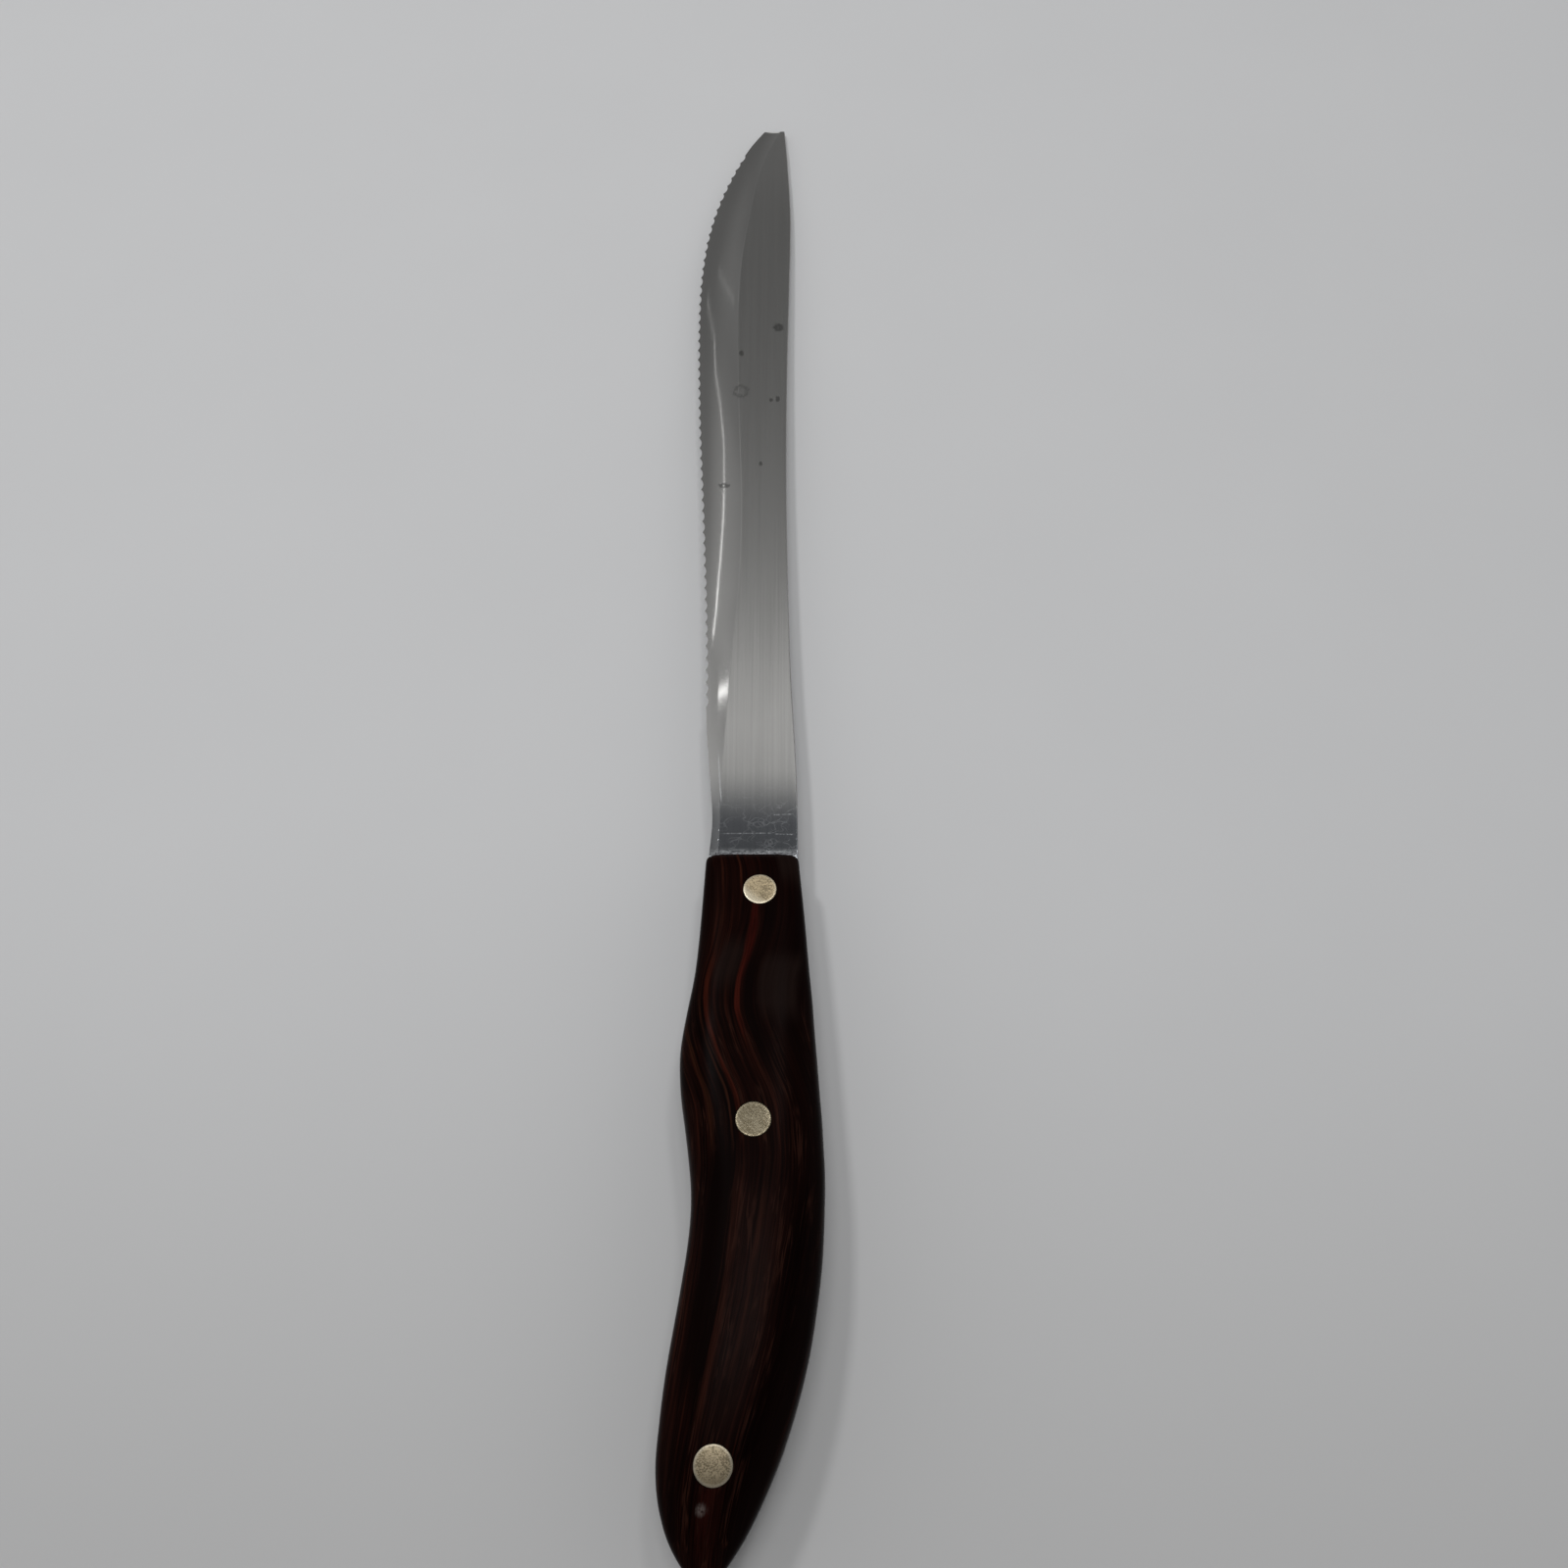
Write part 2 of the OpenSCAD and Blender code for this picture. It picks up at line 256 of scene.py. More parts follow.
# What the scallop grinding and the finish have to know at each point: how far it is across the hollow,
# which ends at 1, and how far along the scalloped edge, where that point has teeth
corner_share = 2.2
tang_share = 1.5
plain_run = -1
side_shares = np.concatenate([hollow_places, 1 + flat_places, np.full(len(corner_turns), corner_share)])
ring_shares = np.concatenate([side_shares, side_shares[::-1]])
ring_sides = np.concatenate([np.ones(len(side_shares)), -np.ones(len(side_shares))])
is_blade = (blank_places > heel_length).astype(float)
tooth_starts = tooth_pitch * np.arange(len(tooth_points))
tooth_runs = np.interp(blank_places, tooth_points, tooth_starts, left=plain_run, right=plain_run)


def store(mesh, name, values, kind="FLOAT"):
    """Keeps a value for each point of a mesh under a name."""
    layer = mesh.attributes.new(name, kind, "POINT")
    layer.data.foreach_set("value" if kind == "FLOAT" else "vector", np.asarray(values, float).ravel())


ring_count = len(ring_shares)
store(blade.data, "grind_share", np.where(is_blade[:, None] > 0, ring_shares, tang_share))
store(blade.data, "grind_side", np.tile(ring_sides, (len(blank_places), 1)))
store(blade.data, "grind_width", np.repeat(grind_width(blank_places), ring_count))
store(blade.data, "grind_depth", np.repeat(grind_depth(blank_places), ring_count))
store(blade.data, "flat_height", np.repeat(flat_height(blank_places), ring_count))
store(blade.data, "tooth_run", np.repeat(tooth_runs, ring_count))


class Wire:
    """A value that runs through a node tree; arithmetic on it adds Math nodes."""

    def __init__(self, tree, socket=None):
        self.tree = tree
        self.socket = socket

    def node(self, kind, settings=(), sockets=(), out=0):
        """Adds a node: its settings come first, then its sockets are filled or joined."""
        made = self.tree.nodes.new(kind)
        for name, value in dict(settings).items():
            if name == "stops":
                stops = made.color_ramp.elements
                while len(stops) < len(value):
                    stops.new(0.5)
                for stop, (position, colour) in zip(stops, value):
                    stop.position = position
                    stop.color = (*colour, 1)
            else:
                setattr(made, name, value)
        for name, value in dict(sockets).items():
            if isinstance(value, Wire):
                self.tree.links.new(value.socket, made.inputs[name])
            else:
                made.inputs[name].default_value = value
        return Wire(self.tree, made.outputs[out] if len(made.outputs) else None)

    def math(self, operation, *others):
        return self.node("ShaderNodeMath", {"operation": operation}, dict(enumerate((self, *others))))

    def __add__(self, other):
        return self.math("ADD", other)

    def __sub__(self, other):
        return self.math("SUBTRACT", other)

    def __rsub__(self, other):
        return self.math("MULTIPLY_ADD", -1, other)

    def __mul__(self, other):
        return self.math("MULTIPLY", other)

    def __truediv__(self, other):
        return self.math("DIVIDE", other)

    __radd__ = __add__
    __rmul__ = __mul__

    def ease(self, low, high):
        """Rises smoothly from 0 at low to 1 at high."""
        return self.node(
            "ShaderNodeMapRange",
            {"interpolation_type": "SMOOTHSTEP"},
            {"Value": self, "From Min": low, "From Max": high, "To Min": 0, "To Max": 1},
        )

    def parts(self):
        """The three numbers of a vector."""
        made = self.tree.nodes.new("ShaderNodeSeparateXYZ")
        self.tree.links.new(self.socket, made.inputs[0])
        return [Wire(self.tree, socket) for socket in made.outputs]

    def vector(self, x, y, z):
        return self.node("ShaderNodeCombineXYZ", {}, {0: x, 1: y, 2: z})

    def noise(self, x, y, z, detail=2, roughness=0.5):
        return self.node(
            "ShaderNodeTexNoise", {},
            {"Vector": self.vector(x, y, z), "Scale": 1, "Detail": detail, "Roughness": roughness},
        )

    def mix(self, share, first, second):
        """Goes from the first colour to the second by a share."""
        return self.node("ShaderNodeMix", {"data_type": "RGBA"}, {0: share, 6: first, 7: second}, 2)


def new_tree(name, inputs):
    """Geometry tree with named inputs; gives the wires of its inputs, by name, and the tree."""
    tree = bpy.data.node_groups.new(name, "GeometryNodeTree")
    tree.interface.new_socket("Geometry", in_out="INPUT", socket_type="NodeSocketGeometry")
    for label, kind in inputs.items():
        tree.interface.new_socket(label, in_out="INPUT", socket_type=kind)
    tree.interface.new_socket("Geometry", in_out="OUTPUT", socket_type="NodeSocketGeometry")
    start = tree.nodes.new("NodeGroupInput")
    return tree, {socket.name: Wire(tree, socket) for socket in start.outputs if socket.name}


def close_tree(tree, geometry, material):
    """Ends a geometry tree with plain geometry in one material."""
    wire = Wire(tree)
    plain = wire.node("GeometryNodeRealizeInstances", {}, {0: geometry})
    dressed = wire.node("GeometryNodeSetMaterial", {}, {"Geometry": plain, "Material": material})
    wire.node("NodeGroupOutput", {}, {0: dressed})


def make_by(tree, piece, values):
    """Runs a geometry tree on a piece and keeps the result as its plain mesh."""
    modifier = piece.modifiers.new(tree.name, "NODES")
    modifier.node_group = tree
    for item in tree.interface.items_tree:
        if item.item_type == "SOCKET" and item.in_out == "INPUT" and item.name in values:
            modifier[item.identifier] = values[item.name]
    graph = bpy.context.evaluated_depsgraph_get()
    mesh = bpy.data.meshes.new_from_object(
        piece.evaluated_get(graph), preserve_all_data_layers=True, depsgraph=graph
    )
    piece.modifiers.clear()
    piece.data = mesh
    mesh.name = piece.name


# Scallops: each point of the hollow is drawn in from the edge along the hollow's own surface
scallop_tree, scallop = new_tree(
    "scalloped_edge",
    {
        "Tooth Pitch": "NodeSocketFloat",
        "Tooth Depth": "NodeSocketFloat",
        "Bevel Share": "NodeSocketFloat",
        "Hollow Radius": "NodeSocketFloat",
        "Steel": "NodeSocketMaterial",
    },
)


def kept(tree, name):
    """A value that a mesh keeps for each point, under a name."""
    return Wire(tree).node("GeometryNodeInputNamedAttribute", {"data_type": "FLOAT"}, {"Name": name})


run = kept(scallop_tree, "tooth_run")
share = kept(scallop_tree, "grind_share")
side = kept(scallop_tree, "grind_side")
width = kept(scallop_tree, "grind_width")
phase = (run / scallop["Tooth Pitch"]).math("FRACT")
toothed = run.math("GREATER_THAN", plain_run / 2) * share.math("LESS_THAN", 1)
right_side = side.math("LESS_THAN", 0)
cut = (
    scallop["Tooth Depth"] * 4 * phase * (1 - phase)
    * (1 + right_side * scallop["Bevel Share"]) * toothed
)
moved_share = share + (1 - share) * cut / width
sag = width * width / (scallop["Hollow Radius"] * 2)
hollow_height = (
    kept(scallop_tree, "flat_height")
    - kept(scallop_tree, "grind_depth") * (1 - moved_share)
    - sag * moved_share * (1 - moved_share)
)
here = Wire(scallop_tree).node("GeometryNodeInputPosition")
here_x, here_y, _ = here.parts()
drawn_in = here.vector(here_x + cut * (1 - share), here_y, side * hollow_height + float(grip_face[2]))
scalloped = here.node(
    "GeometryNodeSetPosition", {},
    {"Geometry": scallop["Geometry"], "Selection": cut.math("GREATER_THAN", 0), "Position": drawn_in},
)
close_tree(scallop_tree, scalloped, scallop["Steel"])


def new_finish(name):
    """Empty material, and the wire that its nodes start from."""
    material = bpy.data.materials.new(name)
    material.use_nodes = True
    material.node_tree.nodes.clear()
    return material, Wire(material.node_tree)


def lay_finish(wire, sockets):
    """Ends a material in its shader."""
    shader = wire.node("ShaderNodeBsdfPrincipled", {}, sockets)
    wire.node("ShaderNodeOutputMaterial", {}, {"Surface": shader})


def in_millimetres(wire):
    """Place on the knife in millimetres: across to the spine, ahead of the grip, up from the mid plane."""
    parts = wire.node("ShaderNodeTexCoord", {}, {}, "Object").parts()
    return [(part - float(start)) * (1 / MM) for part, start in zip(parts, grip_face)]


def strongest(masks):
    """The highest of several masks at each point."""
    highest = masks[0]
    for mask in masks[1:]:
        highest = highest.math("MAXIMUM", mask)
    return highest


# Steel: satin lines along the flats, a finer hollow with painted sheen, a dull heel with a painted dark
# reflection, residue, water marks and scratches, a painted dark spine corner and a painted highlight at the
# heel's grind line
satin_dark = (0.43, 0.427, 0.415, 1)
satin_bright = (0.585, 0.58, 0.565, 1)
hollow_sheen_grey = (0.575, 0.57, 0.557, 1)
cloud_grey = (0.42, 0.42, 0.41, 1)
heel_dull_reflection_blue = (0.115, 0.123, 0.136, 1)
spine_corner_painted_shade = (0.16, 0.16, 0.155, 1)
water_mark_grey = (0.12, 0.12, 0.115, 1)
rubbed_and_highlight_white = (0.8, 0.82, 0.84, 1)
water_marks = (
    # across, ahead, half width, half length, hollow middle
    (4.7, 143.4, 1.5, 1.6, 0.2),
    (-4.1, 135, 0.7, 1.1, 0),
    (-4.1, 122.8, 2.1, 2.2, 0.75),
    (4.5, 120.4, 0.6, 0.9, 0),
    (3, 120, 0.5, 0.7, 0),
    (0.7, 100.7, 0.5, 0.8, 0),
    (-7.5, 94.7, 1.5, 0.9, 0.3),
)
scratch_marks = (
    # across, ahead, half length, lean
    (-1.2, 6.1, 5.6, 0.01),
    (5.7, 10.3, 2.1, 0.05),
    (6.2, 5.9, 2.2, -0.03),
)
steel, wire = new_finish("satin_steel")
x, y, z = in_millimetres(wire)
ground = wire.node("ShaderNodeAttribute", {"attribute_name": "grind_share"}, {}, "Fac")
in_hollow = 1 - ground.ease(0.985, 1.0)
fine_lines = wire.noise(x * 5.5, y * 0.035, z * 2, 3, 0.6)
satin_lines = wire.noise(x * 1.7 + 40, y * 0.016, z, 3, 0.6)
cloud = wire.noise(x * 0.12, y * 0.07, z * 0.1, 3, 0.55)
mottle = wire.noise(x * 1.3, y * 1.1, z, 3, 0.6)
on_flat = 1 - in_hollow * 0.8
left_face = z.ease(-0.05, 0.05)
worn = (1 - y.ease(52, 84) * 0.7) * on_flat
flat_lines = (fine_lines * 0.45 + satin_lines * 0.55) * on_flat
heel_dull_and_reflection = 1 - y.ease(7.5, 21.5)
residue = wire.noise(x * 1.1, y * 2.2 + 9, z, 4, 0.7).ease(0.34, 0.6) * (1 - y.ease(1.9, 3))
spots = []
for spot_x, spot_y, half_across, half_along, middle in water_marks:
    ragged = wire.noise(x * 2.1 + spot_y, y * 1.3, 0, 3, 0.65) * 1.5 - 0.75
    off_x, off_y = (x - spot_x) / half_across, (y - spot_y) / half_along
    away = (off_x * off_x + off_y * off_y).math("SQRT") + ragged
    spots.append((1 - away.ease(0.55, 1.05)) * (away.ease(middle - 0.35, middle + 0.1) if middle else 1))
scratches = []
for scratch_x, scratch_y, reach, lean in scratch_marks:
    off = (y - scratch_y - (x - scratch_x) * lean).math("ABSOLUTE")
    along = (x - scratch_x).math("ABSOLUTE")
    broken = wire.noise(x * 1.7 + scratch_y, 0, 0, 2, 0.6).ease(0.36, 0.62)
    scratches.append((1 - off.ease(0.05, 0.2)) * (1 - along.ease(reach * 0.7, reach)) * broken)
spots = strongest(spots) * left_face
scratches = strongest(scratches) * left_face
# A lighter line along the grind line's end at the heel: a painted highlight.
streak = ((x + 7.1 + (y - 21) * 0.075).math("ABSOLUTE") + mottle * 0.25).ease(0.42, 0.12)
heel_grind_highlight = streak * y.ease(12, 15) * (1 - y.ease(22, 26)) * fine_lines.ease(0.3, 0.6) * left_face
curls = []
for turn in (0, 17, 53):
    swirl = wire.noise(x * 0.17 + turn, y * 0.24 - turn, z, 2, 0.45)
    curls.append(1 - (swirl - 0.5).math("ABSOLUTE").ease(0.002, 0.008))
curl_gaps = wire.noise(x * 0.4 + 5, y * 0.4, z, 2).ease(0.36, 0.55)
hairlines = strongest(curls) * curl_gaps * (heel_dull_and_reflection * 0.8 + 0.1)
marks_and_highlight = strongest([residue * 0.35, scratches * 0.27, hairlines * 0.12, heel_grind_highlight * 0.5])
satin_share = worn * (satin_lines * 1.5 - 0.25) + (1 - worn) * 0.5
steel_colour = wire.mix(satin_share, satin_dark, satin_bright)
# The hollow and the tip's last stretch are painted lighter than the flats: a painted sheen for their brighter
# reflection.
steel_colour = wire.mix(in_hollow.math("MAXIMUM", y.ease(180, 206)), steel_colour, hollow_sheen_grey)
steel_colour = wire.mix(cloud * 0.2 + mottle * 0.12, steel_colour, cloud_grey)
# The heel is painted dark and blue: partly a duller finish, partly a painted dark reflection.
steel_colour = wire.mix(heel_dull_and_reflection * (0.92 - in_hollow * 0.14), steel_colour, heel_dull_reflection_blue)
# The spine's rounded corner is painted dark: a painted dark reflection.
steel_colour = wire.mix(ground.ease(2.02, 2.15) * 0.7, steel_colour, spine_corner_painted_shade)
steel_colour = wire.mix(spots * 0.62, steel_colour, water_mark_grey)
# Residue, scratches and hairlines go lighter, together with the heel's painted highlight.
steel_colour = wire.mix(marks_and_highlight, steel_colour, rubbed_and_highlight_white)
steel_rough = 0.1 + flat_lines * 0.1 + marks_and_highlight * 0.2 - in_hollow * 0.07 + cloud * 0.03
steel_bump = wire.node(
    "ShaderNodeBump", {},
    {"Strength": 0.35, "Distance": 0.02 * MM, "Height": flat_lines - hairlines * 0.3 - scratches * 0.5},
)
lay_finish(
    wire,
    {"Base Color": steel_colour, "Metallic": 1.0, "Roughness": steel_rough, "Normal": steel_bump},
)

make_by(
    scallop_tree, blade,
    {
        "Tooth Pitch": tooth_pitch, "Tooth Depth": tooth_depth, "Bevel Share": tooth_bevel_share,
        "Hollow Radius": hollow_radius, "Steel": steel,
    },
)


def smooth(mesh, corner_angle):
    """Shades a mesh smooth, apart from corners sharper than an angle in degrees."""
    mesh.polygons.foreach_set("use_smooth", [True] * len(mesh.polygons))
    mesh.set_sharp_from_angle(angle=math.radians(corner_angle))


smooth(blade.data, corner_angle=35)
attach(blade, "root")
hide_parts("blade")

# Grip scales.
# Two slabs of polished resin, marbled black, brown and red like wood grain, one on each side of the tang.
# They are shaped to the hand together with the tang, bored for the rivets and buffed to a soft gloss.
grip_thickness = 17.4 * MM
scale_height = (grip_thickness - steel_thickness) / 2
crown_power = 2.6
front_crown_power = 5.5
crown_fade = 4
height_shares = [
    (0, 0.51), (0.02, 0.62), (0.068, 0.69), (0.23, 0.86), (0.382, 0.97), (0.513, 1), (0.696, 0.97),
    (0.848, 0.86), (0.929, 0.66), (0.975, 0.4), (1, 0),
]
head_diameter = 6.35 * MM
head_depth = 2 * MM
barrel_diameter = 4 * MM
rivet_clearance = 0.05 * MM
bore_segments = 96
# share of the grip's length behind its front, and place beside its centre line
rivet_places = [(0.068, 1.4 * MM), (0.428, 0), (0.867, -0.3 * MM)]


def scale_top(d):
    return scale_height * round_curve(height_shares, d / grip_length)


def crown(u, d):
    """Rounded-square section of the grip, squarer towards its front."""
    power = crown_power + (front_crown_power - crown_power) * (1 - d / grip_length) ** crown_fade
    return np.maximum(0, 1 - np.abs(u) ** power) ** (1 / power)


def scale_surface(x, d):
    """Height of a scale's surface above the tang."""
    return scale_top(d) * crown((x - centre_x(d)) / half_width(d), d)


crown_count = 72
front_sections = 9
scale_sections = 170
front_turns = np.linspace(0, math.pi / 2, front_sections)[:-1]
scale_turns = np.linspace(0, math.pi / 2 - nose_gap, scale_sections)
scale_places = np.concatenate([
    grip_front * (1 - np.cos(front_turns)),
    grip_front + (grip_length - grip_front) * np.sin(scale_turns),
])


def scale_ring(d):
    """Points of a scale's outside at one section, with the rounding of the front edge taken off."""
    gap = max(0, grip_front - d)
    inset = grip_front - math.sqrt(grip_front**2 - gap**2)
    u = -np.cos(np.linspace(0, math.pi, crown_count))
    across = centre_x(d) + (half_width(d) - inset) * u
    height = steel_thickness / 2 + (scale_top(d) - inset) * crown(u, d)
    return np.stack([across, np.full(crown_count, -d), height], 1) + grip_face


def turned(profile, segments):
    """Points and faces of a profile of (radius, height) pairs, turned round an upright axis."""
    angles = np.linspace(0, 2 * math.pi, segments, endpoint=False)
    points = [(0, 0, profile[0][1])]
    for radius, height in profile[1:-1]:
        points += [(radius * math.cos(a), radius * math.sin(a), height) for a in angles]
    points.append((0, 0, profile[-1][1]))
    faces = []
    for j in range(segments):
        k = (j + 1) % segments
        faces.append((0, 1 + k, 1 + j))
        for i in range(len(profile) - 3):
            a, b = 1 + i * segments, 1 + (i + 1) * segments
            faces.append((a + j, a + k, b + k, b + j))
        last = 1 + (len(profile) - 3) * segments
        faces.append((last + j, last + k, len(points) - 1))
    return points, faces


rivets = []
for along_share, across in rivet_places:
    d = along_share * grip_length
    x_place = float(centre_x(d)) + across
    surface = float(scale_surface(x_place, d))
    rivets.append((x_place, -d, surface - head_depth + steel_thickness / 2))


def bore_cutters(upwards):
    """Stepped cutters for the rivets' heads and barrels, all in one mesh."""
    points, faces = [], []
    head, barrel = head_diameter / 2 + rivet_clearance, barrel_diameter / 2 + rivet_clearance
    for x_place, y_place, seat in rivets:
        profile = [
            (0, 0), (barrel, 0), (barrel, seat), (head, seat), (head, grip_thickness), (0, grip_thickness),
        ]
        ring, skin = turned(profile, bore_segments)
        start = len(points)
        points += [(px + x_place, py + y_place, pz * upwards) for px, py, pz in ring]
        faces += [tuple(start + i for i in (f if upwards < 0 else f[::-1])) for f in skin]
    mesh = bpy.data.meshes.new("rivet_bores")
    mesh.from_pydata((np.array(points) + grip_face).tolist(), [], faces)
    return mesh


def turn_outwards(mesh):
    """Points a closed mesh's faces outwards."""
    work = bmesh.new()
    work.from_mesh(mesh)
    bmesh.ops.recalc_face_normals(work, faces=work.faces)
    work.to_mesh(mesh)
    work.free()


def make_scale(name, upwards):
    """One scale, mirrored for the right side, and the same slab before it is bored."""
    rings = np.array([scale_ring(d) for d in scale_places])
    rings[:, :, 2] = grip_face[2] + upwards * (rings[:, :, 2] - grip_face[2])
    slab = bpy.data.objects.new(name + "_slab", loft(rings, name + "_slab"))
    cutter = bpy.data.objects.new(name + "_bores", bore_cutters(upwards))
    for part in (slab, cutter):
        bpy.context.collection.objects.link(part)
        turn_outwards(part.data)
    scale = bpy.data.objects.new(name, slab.data.copy())
    bpy.context.collection.objects.link(scale)
    bored = scale.modifiers.new("bores", "BOOLEAN")
    bored.operation = "DIFFERENCE"
    bored.solver = "EXACT"
    bored.object = cutter
    graph = bpy.context.evaluated_depsgraph_get()
    mesh = bpy.data.meshes.new_from_object(scale.evaluated_get(graph))
    scale.modifiers.clear()
    scale.data = mesh
    mesh.name = name
    bpy.data.objects.remove(cutter)
    return scale, slab


left_scale, left_slab = make_scale("left_grip_scale", 1)
right_scale, right_slab = make_scale("right_grip_scale", -1)

# Flow of the marbling: how far its lines bend across the grip, in millimetres behind the front face
flow_bend = [
    (-4, -1.7), (0, -1), (4.3, -0.1), (14.3, 0.2), (21.3, -0.95), (27.3, -2.4), (33.3, -2.45), (38.3, -1.1),
    (43.3, 0.75), (49.8, 3.45), (56.3, 4.4), (61.3, 4.5), (66.3, 3.9), (74.8, 2.8), (82.7, 1.5), (90.3, -0.1),
    (97.8, -2), (108.3, -4.6), (118.3, -6.3), (127, -7),
]
flow_spread = [(-4, 1), (58, 1), (90, 0.9), (110, 0.72), (127, 0.5)]
flank_share = 0.35
# The right scale shows another run of the same marbling, turned over and set aside
right_run = 300
right_stretch = 0.9
right_shift = 2.3


def store_flow(mesh, swapped):
    """Keeps for each point its place in the marbling: across the lines, along them, and up from the tang."""
    points = np.empty(len(mesh.vertices) * 3)
    mesh.vertices.foreach_get("co", points)
    across, along, up = (points.reshape(-1, 3) - grip_face).T / MM
    d = np.clip(-along, 0, grip_length / MM)
    up = np.abs(up) - steel_thickness / 2 / MM
    middle = centre_x(d * MM) / MM
    drop = np.maximum(0, scale_top(d * MM) / MM - up)
    wide = across + np.sign(across - middle) * flank_share * drop
    if swapped:
        wide = 2 * middle - wide * right_stretch - right_shift
    flow = (wide - curve(flow_bend, d)) / curve(flow_spread, d)
    store(mesh, "flow", np.stack([flow, d + swapped * right_run, up], 1), "FLOAT_VECTOR")


# Resin: threads and hairs along the flow, then red and brown streaks, black bands, painted sheen patches and
# a painted highlight near the butt
resin_tones = [
    (0.4, (0.0022, 0.0007, 0.0006)),
    (0.48, (0.0044, 0.0013, 0.001)),
    (0.55, (0.0095, 0.0025, 0.0017)),
    (0.61, (0.02, 0.005, 0.003)),
    (0.7, (0.038, 0.01, 0.0055)),
]
strand_brown = (0.036, 0.0135, 0.009, 1)
band_black = (0.0032, 0.0012, 0.001, 1)
painted_sheen_brown = (0.013, 0.0072, 0.006, 1)
butt_highlight_grey = (0.115, 0.093, 0.085, 1)
butt_highlight_across, butt_highlight_along = -1.4, 114.9
resin, wire = new_finish("marbled_resin")
flow = wire.node("ShaderNodeAttribute", {"attribute_name": "flow"}, {}, "Vector")
g, d, h = flow.parts()
waver = wire.noise(g * 0.11, d * 0.045, h * 0.06, 2) * 3 - 1.5
wobble = wire.noise(g * 0.6 + 11, d * 0.16, h * 0.2, 2) - 0.5
g = g + waver * 0.4 + wobble * 0.5
bands = wire.noise(g * 0.24 + 3.1, d * 0.014, h * 0.1, 2, 0.5)
threads = wire.noise(g * 1.1, d * 0.025, h * 0.2, 4, 0.62)
hairs = wire.noise(g * 2.3 + 20, d * 0.04, h * 0.4, 3, 0.65)
fibres = (threads * 0.5 + hairs * 0.5).ease(0.34, 0.64)
calm = (g.ease(1.5, 4.5) * (1 - d.ease(60, 74)) * 0.6).math("MAXIMUM", (1 - d.ease(8, 18)) * 0.45)
grain = bands * 0.3 + threads * 0.32 + hairs * 0.38
grain = grain + (0.5 - grain) * calm
resin_colour = wire.node("ShaderNodeValToRGB", {"stops": resin_tones}, {"Fac": grain})
streaks = (
    # across, from, to, half width, strength, colour
    (-1.5, 66, 104, 7, 0.6, (0.019, 0.0062, 0.0045, 1)),
    (0, 108, 122, 3.2, 0.5, (0.034, 0.0066, 0.0046, 1)),
    (-5.75, 0, 30, 0.35, 0.75, (0.045, 0.0125, 0.007, 1)),
    (-5.75, 23, 56, 0.65, 1, (0.062, 0.011, 0.0055, 1)),
    (-5.75, 60, 102, 1, 0.45, (0.04, 0.011, 0.0065, 1)),
    (-7.1, 30, 58, 0.3, 0.7, (0.046, 0.015, 0.008, 1)),
    (0.45, 9, 25, 0.85, 1, (0.05, 0.0055, 0.0035, 1)),
    (0.1, 20, 37, 0.7, 1, (0.062, 0.0095, 0.0055, 1)),
    (-10.8, 34, 64, 0.6, 0.8, (0.045, 0.0145, 0.0068, 1)),
    (3.2, 40, 62, 0.25, 0.5, (0.045, 0.0145, 0.008, 1)),
    (5.1, 32, 46, 0.25, 0.35, (0.04, 0.0135, 0.008, 1)),
    (-1.4, 58, 94, 0.7, 0.4, (0.045, 0.0145, 0.0085, 1)),
    (-2.2, 0, 8, 0.3, 0.8, (0.06, 0.016, 0.008, 1)),
    (-1, 0, 6, 0.25, 0.7, (0.06, 0.012, 0.007, 1)),
)
for across, start, end, half, strength, colour in streaks:
    ragged = g + (threads - 0.5) * half * 1.6
    broken = wire.noise(g * 0.9 + start, d * 0.11, h * 0.2, 3, 0.6).ease(0.3, 0.6)
    body = 1 - (ragged - across).math("ABSOLUTE").ease(half * 0.3, half)
    length = d.ease(start - 4, start + 5) * (1 - d.ease(end - 6, end + 5))
    streak_share = body * length * (fibres * 0.7 + 0.3) * (broken * 0.6 + 0.4) * strength
    resin_colour = wire.mix(streak_share, resin_colour, colour)
strands = []
for turn in (0, 31, 67):
    drift = wire.noise(g * 0.5 + turn, d * 0.024, h * 0.1, 2, 0.5)
    strands.append(1 - (drift - 0.5).math("ABSOLUTE").ease(0.004, 0.017))
strand_gaps = wire.noise(g * 0.35 + 8, d * 0.09, h * 0.1, 3, 0.6).ease(0.42, 0.62)
strand_share = strongest(strands) * strand_gaps * d.ease(28, 40)
resin_colour = wire.mix(strand_share * 0.5, resin_colour, strand_brown)
dark_bands = (
    # across, from, to, half width, strength
    (-9.2, 57, 99, 3.8, 0.95),
    (-9.8, 104, 124, 4.6, 0.6),
    (2.4, 22, 45, 1.8, 0.9),
    (10.2, 80, 124, 4.8, 0.92),
    (3.6, 9, 20, 1.5, 0.8),
    (-2.8, 16, 44, 0.9, 0.6),
    (9.5, 8, 82, 2.8, 0.66),
)
for across, start, end, half, strength in dark_bands:
    ragged = g + (threads - 0.5) * half
    body = 1 - (ragged - across).math("ABSOLUTE").ease(half * 0.4, half)
    length = d.ease(start - 5, start + 5) * (1 - d.ease(end - 6, end + 6))
    resin_colour = wire.mix(body * length * strength, resin_colour, band_black)
painted_sheens = (
    # across, from, to, half width: painted sheen patches where the glossy top reflects light
    (-2.4, 20, 27, 2.6),
    (7.6, 23, 33, 4.4),
    (7.8, 1, 5, 3.4),
)
